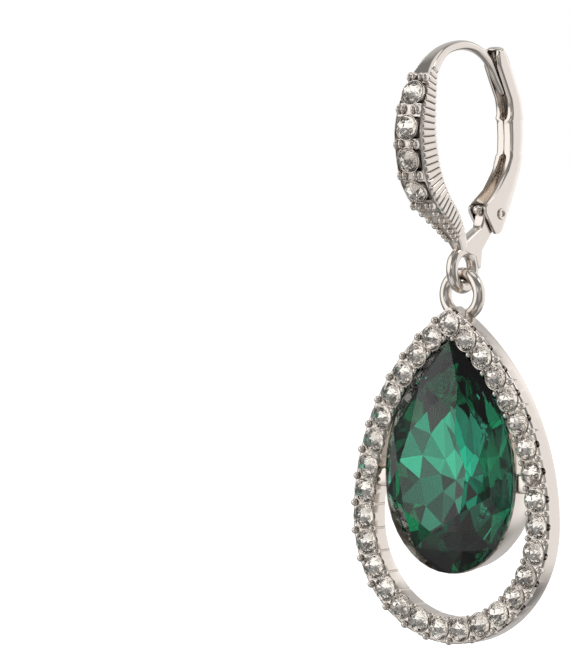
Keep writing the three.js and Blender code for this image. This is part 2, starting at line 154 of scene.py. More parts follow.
# The front's direction, the steps of the halo's arcs, how many dents on each side of its point are deep,
# and the size of the others beside theirs
AHEAD = Vector((0, -1, 0))
HALO_STEPS = 40
DEEP_DENTS = 6
SHALLOW_DENT = 0.4

# How squarely a facet faces away from a stone's front to be foiled
FOIL_FACING = 0.2

# Chance: its seeds for the small stones and for the large one, how far a halo stone leans, and how far a
# facet's tone is from the one that was drawn
SMALL_STONES_SEED = 7
PEAR_STONE_SEED = 11
STONE_LEAN = 0.05
TONE_SPREAD = 0.06

# The lever from its lower corner to its tip. Up is a share of its height, back and front are shares
# of its bow behind the rivet, width is a share of its width, and fold is how far the lips turn in.
LEVER_LINE = table(
    "up, back, front, width, fold",
    (0.0, -0.08, -0.23, 1.0, 0.0),
    (0.016, 0.06, -0.3, 1.0, 0.0),
    (0.112, 0.33, -0.66, 1.0, 0.0),
    (0.144, 0.39, -0.67, 1.0, 0.0),
    (0.165, 0.44, -0.58, 1.0, 0.06),
    (0.234, 0.61, -0.14, 1.0, 0.22),
    (0.337, 0.83, 0.28, 1.0, 0.38),
    (0.395, 0.91, 0.42, 1.0, 0.45),
    (0.415, 0.925, 0.45, 1.0, 0.5),
    (0.428, 0.94, 0.48, 0.91, 0.9),
    (0.45, 0.96, 0.49, 0.9, 1.0),
    (0.516, 1.0, 0.5, 0.9, 1.0),
    (0.585, 0.99, 0.48, 0.9, 1.0),
    (0.603, 0.985, 0.47, 0.91, 0.9),
    (0.615, 0.98, 0.45, 1.0, 0.45),
    (0.64, 0.965, 0.49, 0.98, 0.38),
    (0.68, 0.93, 0.47, 0.98, 0.26),
    (0.721, 0.875, 0.42, 0.98, 0.18),
    (0.817, 0.64, 0.16, 0.98, 0.16),
    (0.894, 0.45, -0.04, 0.97, 0.14),
    (0.945, 0.33, -0.07, 0.94, 0.1),
    (0.972, 0.25, -0.04, 0.86, 0.05),
    (0.99, 0.19, 0.02, 0.7, 0.0),
)

# Rounding of the cast and folded edges
CAST_EDGE = 0.2 * MM
BAND_EDGE = 0.22 * MM
SHEET_EDGE = 0.05 * MM

# Places of a Mix node's colour sockets, whose names are shared with those for numbers
MIX_FACTOR, MIX_FIRST, MIX_SECOND, MIX_RESULT = 0, 6, 7, 2

# Soft boxes round the earring: the turn to the right of the camera and the height of each, how far its
# full core and its soft edge reach from its middle, all in degrees, and its strength
ROOM_LIGHT = 0.22
SOFT_BOXES = table(
    "azimuth, elevation, core, edge, strength",
    (-75, 18, 26, 40, 1.0),
    (105, 8, 30, 50, 0.75),
    (0, 88, 18, 30, 0.75),
    (-75, -42, 14, 28, 0.5),
    (-25, -45, 12, 24, 0.45),
    (70, -45, 14, 26, 0.5),
    (180, 5, 40, 65, 0.35),
    (-22, 10, 5, 9, 0.9),
    (8, 2, 10, 30, 0.22),
    (40, 20, 4, 8, 0.8),
)

# Small lamps: how far each is to the right of, behind and above the earring's middle, its width and power
LAMPS = table(
    "name, right, behind, above, width, power",
    ("key_light", 0.28, 0.11, 0.36, 0.12, 0.12),
    ("rim_light", -0.30, 0.10, 0.16, 0.1, 0.06),
)

# The photograph's height and middle in pixels, and where the earring's middle is in it
PHOTO_HEIGHT = 661
PHOTO_MIDDLE = (285, 330.5)
EARRING_MIDDLE = (460, 342.8)


def size(name, text, value):
    """A length in metres, from its value in millimetres."""
    return FloatProperty(name=name, description=text, default=value * MM, min=0.0, unit="LENGTH",
                         precision=5)


def tint(name, text, value):
    """A colour."""
    return FloatVectorProperty(name=name, description=text, default=value, size=3, min=0, max=1,
                               subtype="COLOR")


class HookSettings(bpy.types.PropertyGroup):
    """Sizes of the ear hook."""
    wire: size("Wire", "Thickness of the ear wire", 0.8)
    wire_reach: size("Wire reach", "From the arch back to the wire's tip", 5.75)
    wire_drop: size("Wire drop", "From the arch down to the wire's tip", 4.1)
    reach: size("Hoop reach", "From the arch forward to the hoop's mid-line", 6.27)
    drop: size("Hoop drop", "From the arch down to the loop", 17.0)
    width: size("Hoop width", "Greatest width of the hoop from the front", 3.2)
    thickness: size("Hoop thickness", "Greatest thickness of the hoop from the side", 2.3)
    rib_pitch: size("Rib pitch", "From one rib to the next", 0.56)
    rib_depth: size("Rib depth", "Depth of the grooves between the ribs", 0.16)
    loop_height: size("Loop height", "Outer height of the loop below the hoop", 4.1)
    loop_depth: size("Loop depth", "Outer depth of the loop below the hoop", 3.85)
    loop_wire: size("Loop wire", "Thickness of the loop", 1.05)
    plane: size("Drop plane", "How far behind the arch the drop hangs", 0.1)
    grain: size("Grain", "Diameter of the grains between the stones", 0.86)
    pocket: size("Pocket", "Thickness of the block that cuts a stone's pocket", 0.8)
    collet_wall: size("Collet wall", "Thickness of the tube that holds a stone", 0.1)
    collet_depth: size("Collet depth", "Depth of the tube that holds a stone", 0.6)


class LeverSettings(bpy.types.PropertyGroup):
    """Sizes of the lever and its rivet."""
    pivot_back: size("Pivot back", "From the arch back to the rivet", 4.25)
    pivot_below: size("Pivot below", "From the arch down to the rivet", 13.6)
    height: size("Height", "Height of the lever", 15.6)
    below: size("Below pivot", "From the rivet down to the lever's lower corner", 1.65)
    bow: size("Bow", "How far the lever bows out behind the rivet", 3.2)
    width: size("Width", "Outer width of the lever", 1.9)
    wall: size("Wall", "Thickness of the folded sheet", 0.28)
    web_end: size("Web end", "From the rivet up to the end of the lever's back wall", 1.0)
    lug: size("Lug", "Radius of the lug round the rivet", 0.85)
    lug_gap: size("Lug gap", "Clearance on each side of the lug", 0.1)
    rivet: size("Rivet", "Diameter of the rivet's head", 0.95)
    head: size("Head", "How far the rivet's head stands out", 0.16)


class HaloSettings(bpy.types.PropertyGroup):
    """Sizes of the halo and its bail ring."""
    width: size("Width", "Width of the line of stones", 18.0)
    side: size("Side radius", "Radius of the long side arcs", 19.4)
    inner: size("Inner", "From the stone line to the band's inner edge", 0.98)
    outer: size("Outer", "From the stone line to the band's outer edge", 1.22)
    thickness: size("Thickness", "Depth of the band from front to back", 1.75)
    front: size("Front", "From the drop's plane to the band's front", 1.8)
    bail: size("Bail", "Outer diameter of the bail ring", 4.55)
    bail_wire: size("Bail wire", "Thickness of the bail ring", 1.05)
    bail_to_halo: size("Bail to halo", "From the bail's centre to the top stone", 2.3)
    link_gap: size("Link gap", "Clearance of the bail ring in the loop", 0.12)
    stones: IntProperty(name="Stones", description="Stones round the halo", default=31, min=8)
    outer_grain: size("Outer grain", "Diameter of the grains outside the stones", 0.66)
    outer_inset: size("Outer inset", "From the band's outer edge in to the outer grains", 0.24)
    inner_grain: size("Inner grain", "Diameter of the grains inside the stones", 0.54)
    inner_inset: size("Inner inset", "From the band's inner edge in to the inner grains", 0.18)
    notch: size("Notch", "Radius of the notch in the band beside each stone", 0.3)
    groove: size("Groove", "Radius of the groove in the band's inner wall between stones", 0.11)
    dent: size("Dent", "Radius of the tapering dent in the band's outer wall between stones", 0.2)


class PearSettings(bpy.types.PropertyGroup):
    """Sizes of the large stone and its cup."""
    width: size("Width", "Width of the cup from the front", 13.5)
    side: size("Side radius", "Radius of the cup's long sides", 13.4)
    end: size("Round end", "From the widest place down to the round end", 7.75)
    rise: size("Rise", "From the halo's centre up to the widest place", 3.35)
    wall: size("Wall", "Thickness of the cup's rim", 0.2)
    front: size("Front", "From the drop's plane forward to the rim", 1.75)
    depth: size("Depth", "Depth of the cup", 4.1)
    taper: size("Taper", "How far the cup's wall leans in", 0.3)
    back_edge: size("Back edge", "How far the cup's back is drawn in", 1.3)
    lap: size("Lap", "How far the stone's girdle stands in front of the rim", 0.1)
    crown: size("Crown", "Height of the stone above its girdle", 2.4)
    girdle: size("Girdle", "Thickness of the stone's girdle", 0.3)
    pavilion: size("Pavilion", "Depth of the stone behind its girdle", 3.3)


class StoneSettings(bpy.types.PropertyGroup):
    """Sizes of the small round stones."""
    halo: size("Halo stone", "Diameter of the halo's stones", 2.04)
    hook: size("Hook stone", "Diameter of the hook's stones", 1.95)
    lift: size("Lift", "How far a girdle stands in front of the metal", 0.1)
    gap: size("Gap", "Clearance of a stone in its seat", 0.06)


class FinishSettings(bpy.types.PropertyGroup):
    """Colours of the metal and the stones."""
    plate: tint("Plating", "Polished warm silver", (0.8, 0.735, 0.675))
    # The groove tint is painted shade, the dark colour that the plating takes in its hollows and creases.
    groove: tint("Grooves", "Where the plating is dull in its hollows", (0.12, 0.098, 0.082))
    crystal: tint("Crystal", "Clear stones", (1.0, 0.99, 0.97))
    # The three silver foil tints are lit and shaded copies of one silver: painted light, painted half-shade
    # and painted shade on the clear stones' back facets.
    foil: tint("Foil", "Silver foil behind the clear stones, at its brightest", (0.95, 0.92, 0.88))
    foil_painted_half_shade: tint("Foil half-tone", "Silver foil in half-tone", (0.5, 0.46, 0.42))
    foil_painted_shade: tint("Foil dark", "Silver foil at its darkest", (0.04, 0.034, 0.03))
    emerald: tint("Emerald", "Body of the large stone", (0.78, 0.97, 0.9))
    # The three green foil tints are the large stone's own green as painted light, painted half-shade and
    # painted shade on its back facets.
    green_foil: tint("Green foil", "Foil behind the large stone, at its brightest", (0.03, 0.42, 0.26))
    green_painted_half_shade: tint("Green half-tone", "Foil behind the large stone in half-tone", (0.02, 0.19, 0.125))
    green_painted_shade: tint("Green dark", "Foil behind the large stone at its darkest", (0.035, 0.028, 0.027))
    floor: tint("Floor", "Plain pale floor", (0.93, 0.93, 0.93))


class StageSettings(bpy.types.PropertyGroup):
    """The camera's place and the photograph's framing."""
    azimuth: FloatProperty(name="Azimuth", description="Camera's turn to the right of the front",
                           default=math.radians(37.5), subtype="ANGLE", unit="ROTATION")
    elevation: FloatProperty(name="Elevation", description="Camera's height above level",
                             default=math.radians(2.5), subtype="ANGLE", unit="ROTATION")
    distance: size("Distance", "From the camera to the earring", 400.0)
    view_height: size("View height", "Height of the view at the earring", 54.73)
    floor_gap: size("Floor gap", "From the lowest point down to the floor", 14.0)


class Socket:
    """An output of a node. Arithmetic on it adds Math nodes."""

    def __init__(self, finish, output):
        self.finish = finish
        self.output = output

    def math(self, operation, first, second):
        """A Math node on two values."""
        return self.finish.node("ShaderNodeMath", {"operation": operation}, {0: first, 1: second})

    def __add__(self, other):
        return self.math("ADD", self, other)

    def __sub__(self, other):
        return self.math("SUBTRACT", self, other)

    def __rsub__(self, other):
        return self.math("SUBTRACT", other, self)

    def __mul__(self, other):
        return self.math("MULTIPLY", self, other)

    def clamped(self, low, high):
        """The value kept between two numbers."""
        return self.math("MINIMUM", self.math("MAXIMUM", self, low), high)


class Finish:
    """A node tree that is written as Python expressions."""

    def __init__(self, owner):
        self.owner = owner
        owner.use_nodes = True
        self.tree = owner.node_tree
        self.tree.nodes.clear()

    def node(self, kind, settings=None, inputs=None, output=0):
        """Adds a node with its settings first, then its values and links."""
        made = self.tree.nodes.new(kind)
        for key, value in (settings or {}).items():
            setattr(made, key, value)
        for key, value in (inputs or {}).items():
            if isinstance(value, Socket):
                self.tree.links.new(value.output, made.inputs[key])
            else:
                made.inputs[key].default_value = value
        return Socket(self, made.outputs[output]) if made.outputs else made

    def noise(self, scale, detail):
        """Noise that is fixed to the piece."""
        place = self.node("ShaderNodeTexCoord", output="Object")
        return self.node("ShaderNodeTexNoise", None, {"Vector": place, "Scale": scale, "Detail": detail})

    def blend(self, factor, low, high):
        """A colour between two colours."""
        first, second = (end if isinstance(end, Socket) else (*end, 1) for end in (low, high))
        return self.node("ShaderNodeMix", {"data_type": "RGBA"},
                         {MIX_FACTOR: factor, MIX_FIRST: first, MIX_SECOND: second}, MIX_RESULT)

    def surface(self, **inputs):
        """Ends the tree in one Principled surface."""
        shader = self.node("ShaderNodeBsdfPrincipled", None, inputs)
        self.node("ShaderNodeOutputMaterial", None, {"Surface": shader})
        return self.owner


def new_finish(name):
    """A fresh material's node tree."""
    return Finish(bpy.data.materials.new(name))


def polished_plate(settings):
    """Warm silver plating: mirror bright on what stands out, dull in the hollows, with painted shade that
    darkens its hollows and creases.
    """
    dull, mirror = 0.36, 0.14
    finish = new_finish("polished_plate")
    sharp = finish.node("ShaderNodeNewGeometry", output="Pointiness")
    # Ambient occlusion sets where the painted shade falls in the hollows.
    occlusion_shade = finish.node("ShaderNodeAmbientOcclusion", {"samples": 8}, {"Distance": 0.45 * MM}, "AO")
    ripple = finish.noise(900.0, 3.0)
    cast = finish.noise(260.0, 2.0)
    # Painted shade in creases: pointiness below 0.5 darkens concave places, and sharp convex edges get less
    # of the painted shade.
    crease_shade = ((sharp - 0.5) * 6.0).clamped(-0.3, 0.2)
    # Share out of the painted shade, from 0 in the hollows to 1 on open faces; it also makes the hollows
    # rougher.
    unshaded = (occlusion_shade * 1.6 - 0.35 + crease_shade + ripple * 0.15).clamped(0.0, 1.0)
    bump = finish.node("ShaderNodeBump", None, {"Height": ripple * 0.4 + cast, "Strength": 0.15,
                                                "Distance": 0.03 * MM})
    return finish.surface(**{
        # Painted shade: the dark groove tint in the hollows and creases, the plating elsewhere.
        "Base Color": finish.blend(unshaded, settings.groove, settings.plate),
        "Metallic": 1.0,
        "Roughness": (dull - unshaded * (dull - mirror)) + (cast - 0.5) * 0.06,
        "Normal": bump,
    })


def cut_glass(name, colour):
    """A clear facet that light goes through, with the faintest polishing haze."""
    finish = new_finish(name)
    haze = finish.noise(700.0, 2.0)
    return finish.surface(**{
        "Base Color": finish.blend(haze, [part * 0.97 for part in colour], colour),
        "Roughness": haze * 0.006,
        "IOR": 1.56,
        "Transmission Weight": 1.0,
    })


def mirror_foil(name, dark, deep, bright):
    """Foil behind a stone, which mirrors the light back through it. Each facet has its own tone, painted
    light or painted shade in place of the sparkle that the facets reflect.
    """
    finish = new_finish(name)
    tone = finish.node("ShaderNodeAttribute", {"attribute_name": "tone"}, output="Fac")
    patch = finish.noise(420.0, 2.0)
    shade = (tone + (patch - 0.5) * 0.12).clamped(0.0, 1.0)
    low = finish.blend((shade * 2.0).clamped(0.0, 1.0), dark, deep)
    return finish.surface(**{
        # Painted shade to painted light across the facets, from the darkest tint through the half-tone to the
        # brightest.
        "Base Color": finish.blend((shade * 2.0 - 1.0).clamped(0.0, 1.0), low, bright),
        "Metallic": 1.0,
        "Roughness": patch * 0.02 + 0.01,
    })


def pale_floor(settings):
    """Plain pale floor with a soft grain."""
    finish = new_finish("pale_floor")
    cloud = finish.noise(9.0, 2.0)
    return finish.surface(**{
        "Base Color": finish.blend(cloud, [part * 0.98 for part in settings.floor], settings.floor),
        "Roughness": 0.8,
        "Emission Color": (1, 1, 1, 1),
        "Emission Strength": 0.6,
    })


def cleared():
    """Leaves nothing selected, in object mode."""
    if bpy.context.object and bpy.context.object.mode != "OBJECT":
        bpy.ops.object.mode_set(mode="OBJECT")
    bpy.ops.object.select_all(action="DESELECT")


def chosen(piece):
    """Makes one object the selected and active one."""
    cleared()
    piece.select_set(True)
    bpy.context.view_layer.objects.active = piece
    return piece


def closed_up(piece, fill):
    """Merges doubles, fills open ends and turns all faces outwards."""
    chosen(piece)
    bpy.ops.object.mode_set(mode="EDIT")
    bpy.ops.mesh.select_all(action="SELECT")
    bpy.ops.mesh.remove_doubles(threshold=0.0005 * MM)
    if fill:
        bpy.ops.mesh.fill_holes(sides=0)
    bpy.ops.mesh.normals_make_consistent(inside=False)
    bpy.ops.object.mode_set(mode="OBJECT")
    return piece


def skin(name, rings):
    """A closed skin over rings of equal length, made from a grid that is wrapped round them."""
    count = len(rings[0])
    cleared()
    bpy.ops.mesh.primitive_grid_add(x_subdivisions=count, y_subdivisions=len(rings) - 1, size=MM)
    piece = bpy.context.object
    piece.name = piece.data.name = name
    points = [ring[k % count] for ring in rings for k in range(count + 1)]
    piece.data.vertices.foreach_set("co", [value for point in points for value in point])
    return closed_up(piece, True)


def plate(name, outline, thickness, hole=None):
    """A flat plate from an outline of points, drawn out along a vector, with one hole or none."""
    cleared()
    bpy.ops.mesh.primitive_circle_add(vertices=len(outline), radius=MM, fill_type="NOTHING")
    piece = bpy.context.object
    piece.name = piece.data.name = name
    bpy.ops.object.mode_set(mode="EDIT")
    if hole:
        bpy.ops.mesh.primitive_circle_add(vertices=len(hole), radius=MM / 2, fill_type="NOTHING")
    mesh = bmesh.from_edit_mesh(piece.data)
    for vertex, point in zip(mesh.verts, list(outline) + list(hole or [])):
        vertex.co = point
    bpy.ops.mesh.select_all(action="SELECT")
    if hole:
        bpy.ops.mesh.bridge_edge_loops()
    else:
        bpy.ops.mesh.edge_face_add()
    bpy.ops.mesh.select_all(action="SELECT")
    bpy.ops.mesh.extrude_region_move(TRANSFORM_OT_translate={"value": thickness})
    return closed_up(piece, False)


def rounded(piece, width, segments=3, angle=math.radians(35)):
    """Rounds a piece's sharp edges."""
    chosen(piece)
    bpy.ops.object.modifier_add(type="BEVEL")
    modifier = piece.modifiers[-1]
    modifier.width = width
    modifier.segments = segments
    modifier.limit_method = "ANGLE"
    modifier.angle_limit = angle
    bpy.ops.object.modifier_apply(modifier=modifier.name)
    return piece


def cut(piece, cutters):
    """Cuts one piece with others, which are used up."""
    cutter = joined_up(cutters)
    chosen(piece)
    bpy.ops.object.modifier_add(type="BOOLEAN")
    modifier = piece.modifiers[-1]
    modifier.operation = "DIFFERENCE"
    modifier.solver = "EXACT"
    modifier.use_self = True
    modifier.object = cutter
    bpy.ops.object.modifier_apply(modifier=modifier.name)
    bpy.data.objects.remove(cutter)
    return piece


def joined_up(pieces):
    """Joins pieces into the first one."""
    cleared()
    for piece in pieces:
        piece.select_set(True)
    bpy.context.view_layer.objects.active = pieces[0]
    bpy.ops.object.join()
    return pieces[0]


def copied(model, places):
    """One copy of a model, with a mesh of its own, at each place. The model is used up."""
    copies = []
    for place in places:
        copy = model.copy()
        copy.data = model.data.copy()
        copy.data.transform(place)
        bpy.context.collection.objects.link(copy)
        copies.append(copy)
    bpy.data.objects.remove(model)
    return copies


def settled(piece):
    """Puts an object's place, turn and size into its mesh."""
    chosen(piece)
    bpy.ops.object.transform_apply(location=True, rotation=True, scale=True)
    return piece


def primitive(add, **values):
    """A basic mesh from one of Blender's own tools."""
    cleared()
    add(**values)
    return settled(bpy.context.object)


def smooth(piece, angle=30):
    """Shades a piece smooth, with its corners kept sharp."""
    chosen(piece)
    bpy.ops.object.shade_smooth_by_angle(angle=math.radians(angle))
    return piece


def plated(piece, name, node, body):
    """Gives a metal piece its plating and puts it in a CAD node's place."""
    piece.data.materials.append(finish_of("polished_plate"))
    return dressed(piece, name, node, body)


def dressed(piece, name, node, body):
    """Names a finished piece and puts it in a CAD node's place."""
    piece.name = piece.data.name = name
    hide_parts(node)
    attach(piece, body)
    return piece


def facing(outward, at, spin=0.0):
    """A place for what is modelled with its face up: turned to look outward, and moved."""
    turn = Vector((0, 0, 1)).rotation_difference(outward).to_matrix().to_4x4()
    return Matrix.Translation(at) @ turn @ Matrix.Rotation(spin, 4, "Z")


def ramp(value, start, end):
    """How far a value has come from a start to an end, from 0 to 1."""
    return min(max((value - start) / (end - start), 0.0), 1.0)


def eased(first, second, before, after, place):
    """A point on the smooth curve through four points, spaced by the root of their distances."""
    pairs = ((before, first), (first, second), (second, after))
    near, step, far = (max(math.sqrt((b - a).length), 1e-6) for a, b in pairs)
    out = (first - before) / near - (second - before) / (near + step) + (second - first) / step
    back = (second - first) / step - (after - first) / (step + far) + (after - second) / far
    out, back = out * step, back * step
    cubic = 2 * first - 2 * second + out + back
    square = -3 * first + 3 * second - 2 * out - back
    return first + out * place + square * place ** 2 + cubic * place ** 3


class HookLine:
    """The hook's mid-line from the wire's tip over the arch to the loop, with its section."""
    FINE = 60  # steps between two rows

    def __init__(self, hook):
        arch = hook.wire / 2
        self.top = arch
        self.drop = hook.drop
        rows = [(Vector((0, row["reach"] * hook.wire_reach, arch - row["drop"] * hook.wire_drop)),
                 row["size"] * hook.wire, row["size"] * hook.wire) for row in WIRE_LINE]
        rows += [(Vector((0, -row["reach"] * hook.reach, arch - row["drop"] * hook.drop)),
                  row["width"] * hook.width, row["thickness"] * hook.thickness) for row in HOOP_LINE]
        knots = [row[0] for row in rows]
        knots = [knots[0] * 2 - knots[1], *knots, knots[-1] * 2 - knots[-2]]
        self.stations = []
        self.length = 0.0
        last = None
        for k in range(len(rows) - 1):
            for step in range(self.FINE + (k == len(rows) - 2)):
                share = step / self.FINE
                point = eased(knots[k + 1], knots[k + 2], knots[k], knots[k + 3], share)
                self.length += (point - last).length if last else 0.0
                width, thick = (rows[k][n] + (rows[k + 1][n] - rows[k][n]) * share for n in (1, 2))
                self.stations.append((self.length, point, width, thick))
                last = point

    def at(self, distance):
        """The centre, outward direction, width and thickness at a distance from the wire's tip."""
        distance = min(max(distance, 0.0), self.length)
        high = next((k for k, row in enumerate(self.stations) if row[0] >= distance and k), 1)
        low, top = self.stations[high - 1], self.stations[high]
        share = (distance - low[0]) / max(top[0] - low[0], 1e-9)
        along = (top[1] - low[1]).normalized()
        outward = along.cross(Vector((1, 0, 0)))
        width, thick = (low[n] + (top[n] - low[n]) * share for n in (2, 3))
        return low[1].lerp(top[1], share), outward, width, thick

    def distance(self, share):
        """The distance at which the hoop has come down by a share of its drop."""
        level = self.top - share * self.drop
        return next(row[0] for row in reversed(self.stations) if row[1].z >= level)


def bar_ring(line, distance, groove=0.0):
    """The hook's section at a distance: round on the wire, a soft rectangle on the hoop."""
    centre, outward, width, thick = line.at(distance)
    square = ramp(width / MM, ROUND_WIDTH, SQUARE_WIDTH)
    ring = []
    for k in range(BAR_POINTS):
        angle = 2 * math.pi * k / BAR_POINTS
        power = 2 / (2 + square * (FRONT_SQUARENESS if math.cos(angle) > 0 else BACK_SQUARENESS))
        up, side = (math.copysign(abs(part) ** power, part) for part in (math.cos(angle), math.sin(angle)))
        deep = groove * ramp(abs(side), *GROOVE_SIDES) * ramp(up, *GROOVE_FRONT)
        height = up * thick / 2 + (deep * BACK_GROOVE_DEPTH if up < GROOVE_BACK else 0.0)
        ring.append(centre + outward * height + Vector((side * (width / 2 - deep), 0, 0)))
    return ring


def hook_bar(hook, line):
    """The wire with its rounded tip, the smooth arch and the ribbed hoop as one bar."""
    start, end = line.distance(RIBS_FROM), line.distance(RIBS_TO)
    ribs = round((end - start) / hook.rib_pitch)
    plain_step = 0.25 * MM
    first = round(start / plain_step)
    last = round((line.length - end) / plain_step)
    tip = line.at(0)[0]
    ahead = (tip - line.at(plain_step)[0]) / 2
    rings = [[tip + (point - tip) * share + ahead * (1 - share) for point in bar_ring(line, 0)]
             for share in (0.35, 0.8)]
    rings += [bar_ring(line, start * k / first) for k in range(first)]
    for k in range(ribs):
        rings += [bar_ring(line, start + (end - start) * (k + place) / ribs, hook.rib_depth * depth)
                  for place, depth in RIB_SHAPE]
    rings += [bar_ring(line, end + (line.length - end) * k / last) for k in range(1, last + 1)]
    return skin("hook_bar", rings)


def seat_places(line, stones):
    """The places of the hook's stones, on the hoop's front."""
    places = []
    for share in HOOK_SEATS:
        centre, outward, _, thick = line.at(line.distance(share))
        places.append((centre + outward * (thick / 2 + stones.lift), outward))
    return places


def seat_cutter(diameter, stones):
    """A wide-bottomed cone that cuts the seat of a stone, with its face up."""
    depth = 0.5 * diameter
    past_girdle = 0.02 * MM
    return primitive(bpy.ops.mesh.primitive_cone_add, vertices=32, radius1=0.23 * diameter,
                     radius2=diameter / 2 + stones.gap, depth=depth, location=(0, 0, past_girdle - depth / 2))


def rod(radius, length, sides):
    """A rod along Z."""
    return primitive(bpy.ops.mesh.primitive_cylinder_add, vertices=sides, radius=radius, depth=length)


def spike(halo):
    """A cone that cuts a dent, wide at the band's front and gone before its back."""
    depth = 0.5 * halo.thickness
    past_front = 0.1 * MM
    return primitive(bpy.ops.mesh.primitive_cone_add, vertices=12, radius1=0.01 * MM, radius2=halo.dent,
                     depth=depth, location=(0, 0, past_front - depth / 2))


def pebble(width, length, height, at=(0, 0, 0)):
    """A rounded lump of metal."""
    return primitive(bpy.ops.mesh.primitive_uv_sphere_add, segments=20, ring_count=12, radius=0.5,
                     location=at, scale=(width, length, height))


def block(width, depth, height, at=(0, 0, 0)):
    """A plain block."""
    return primitive(bpy.ops.mesh.primitive_cube_add, size=1, location=at, scale=(width, depth, height))


def split_grain(grain):
    """A grain that is split down its middle."""
    return joined_up([pebble(0.56 * grain, grain, 0.95 * grain, (side * 0.27 * grain, 0, 0))
                      for side in (-1, 1)])


def collar(diameter, edge):
    """A thin rim round a stone."""
    return primitive(bpy.ops.mesh.primitive_torus_add, major_radius=diameter / 2, minor_radius=edge,
                     major_segments=36, minor_segments=8)


def collet(inner, wall, depth):
    """A short tube that holds a stone, with its mouth at the girdle."""
    sides = 36
    angles = [2 * math.pi * k / sides for k in range(sides)]
    hole, outer = ([Vector((radius * math.cos(angle), radius * math.sin(angle), -depth)) for angle in angles]
                   for radius in (inner / 2, inner / 2 + wall))
    return rounded(plate("collet", outer, (0, 0, depth), hole), SHEET_EDGE, 2)


def hook_lug(hook, lever):
    """The lug between the loop and the rivet, with its small rounded nose."""
    radius = lever.lug
    pivot = Vector((lever.pivot_back, -lever.pivot_below))
    foot = Vector((hook.plane, hook.wire / 2 - hook.drop))
    middle = foot.y - (hook.loop_height - hook.loop_wire) / 2
    behind = foot.x + hook.loop_depth / 2
    outline = [
        (foot.x - hook.loop_wire / 2, foot.y),
        (foot.x + hook.loop_wire * 0.3, foot.y - hook.loop_wire * 0.3),
        (behind - hook.loop_wire * 0.8, foot.y - hook.loop_wire * 0.5),
        (behind - hook.loop_wire * 0.5, middle),
        (behind, middle),
        (behind + hook.loop_wire * 0.2, foot.y),
        (pivot.x - radius * 0.5, pivot.y - radius * 1.5),
    ]
    for degrees in (-45, -22.5, 0, 22.5, 45, 67.5, 90):
        angle = math.radians(degrees)
        outline.append((pivot.x + radius * math.cos(angle), pivot.y + radius * math.sin(angle)))
    outline += [
        (pivot.x - radius * 2.0, pivot.y + radius * 0.8),
        (pivot.x - radius * 2.2, pivot.y - radius * 0.5),
        (pivot.x - radius * 2.6, pivot.y - radius * 1.3),
        (foot.x - hook.loop_wire * 0.3, foot.y + radius * 0.8),
    ]
    half = lever.width / 2 - lever.wall - lever.lug_gap
    points = [Vector((-half, y, z)) for y, z in outline]
    nose = pebble(1.7 * half, radius, 0.95 * radius, (0, pivot.x - radius * 2.3, pivot.y + radius * 0.4))
    return joined_up([rounded(plate("lug", points, (2 * half, 0, 0)), CAST_EDGE), nose])


def ring_piece(outer_height, outer_depth, wire, at, across):
    """A round wire ring, upright across X or facing forward."""
    turn = (0, math.pi / 2, 0) if across else (math.pi / 2, 0, 0)
    ring = primitive(bpy.ops.mesh.primitive_torus_add, major_radius=(outer_height - wire) / 2,
                     minor_radius=wire / 2, major_segments=72, minor_segments=24, location=at, rotation=turn)
    if across:
        stretch = (outer_depth - wire) / (outer_height - wire)
        ring.data.transform(Matrix.Translation(at) @ Matrix.Diagonal((1, stretch, 1, 1))
                            @ Matrix.Translation(-Vector(at)))
    return ring


class EARRING_OT_hook(bpy.types.Operator):
    """Model the ear hook with its ribs, seats, grains, lug and loop"""
    bl_idname = "earring.hook"
    bl_label = "Ear hook"

    def execute(self, context):
        scene = context.scene
        hook, lever, stones = scene.earring_hook, scene.earring_lever, scene.earring_stones
        line = HookLine(hook)
        bar = hook_bar(hook, line)
        places = [facing(outward, at) for at, outward in seat_places(line, stones)]
        pocket = rounded(block(0.8 * hook.width, 0.95 * stones.hook, hook.pocket), CAST_EDGE)
        bar = cut(bar, copied(pocket, places) + copied(seat_cutter(stones.hook, stones), places))
        grains = hook_grains(hook, line)
        rims = copied(collet(stones.hook + stones.gap, hook.collet_wall, hook.collet_depth), places)
        loop_at = (0, hook.plane, hook.wire / 2 - hook.drop - (hook.loop_height - hook.loop_wire) / 2)
        loop = ring_piece(hook.loop_height, hook.loop_depth, hook.loop_wire, loop_at, True)
        whole = joined_up([bar, hook_lug(hook, lever), loop, *grains, *rims])
        plated(smooth(whole), "ear_hook_metal", "ear_hook", "hook")
        return {"FINISHED"}


def grain_pair(line, distance, spread, full_width=None):
    """The places of two grains side by side on the hoop's front, smaller where the hoop is narrow."""
    centre, outward, width, thick = line.at(distance)
    front = centre + outward * (thick / 2)
    scale = Matrix.Scale(min(width / full_width, 1.0) if full_width else 1.0, 4)
    return [facing(outward, front + Vector((side * width * spread, 0, 0))) @ scale for side in (-1, 1)]


def hook_grains(hook, line):
    """Pairs of split grains above, between and below the stones, and rows of small ones down the tail."""
    seats = [line.distance(share) for share in HOOK_SEATS]
    half = (seats[1] - seats[0]) / 2
    middles = [(a + b) / 2 for a, b in zip(seats, seats[1:])]
    pairs, tails = [], []
    for distance in [seats[0] - half, *middles, seats[-1] + half]:
        pairs += grain_pair(line, distance, GRAIN_SPREAD)
    for share in TAIL_ROWS:
        tails += grain_pair(line, line.distance(share), TAIL_SPREAD, TAIL_WIDTH * hook.width)
    small = 0.75 * hook.grain
    return copied(split_grain(hook.grain), pairs) + copied(pebble(small, small, 0.8 * hook.grain), tails)


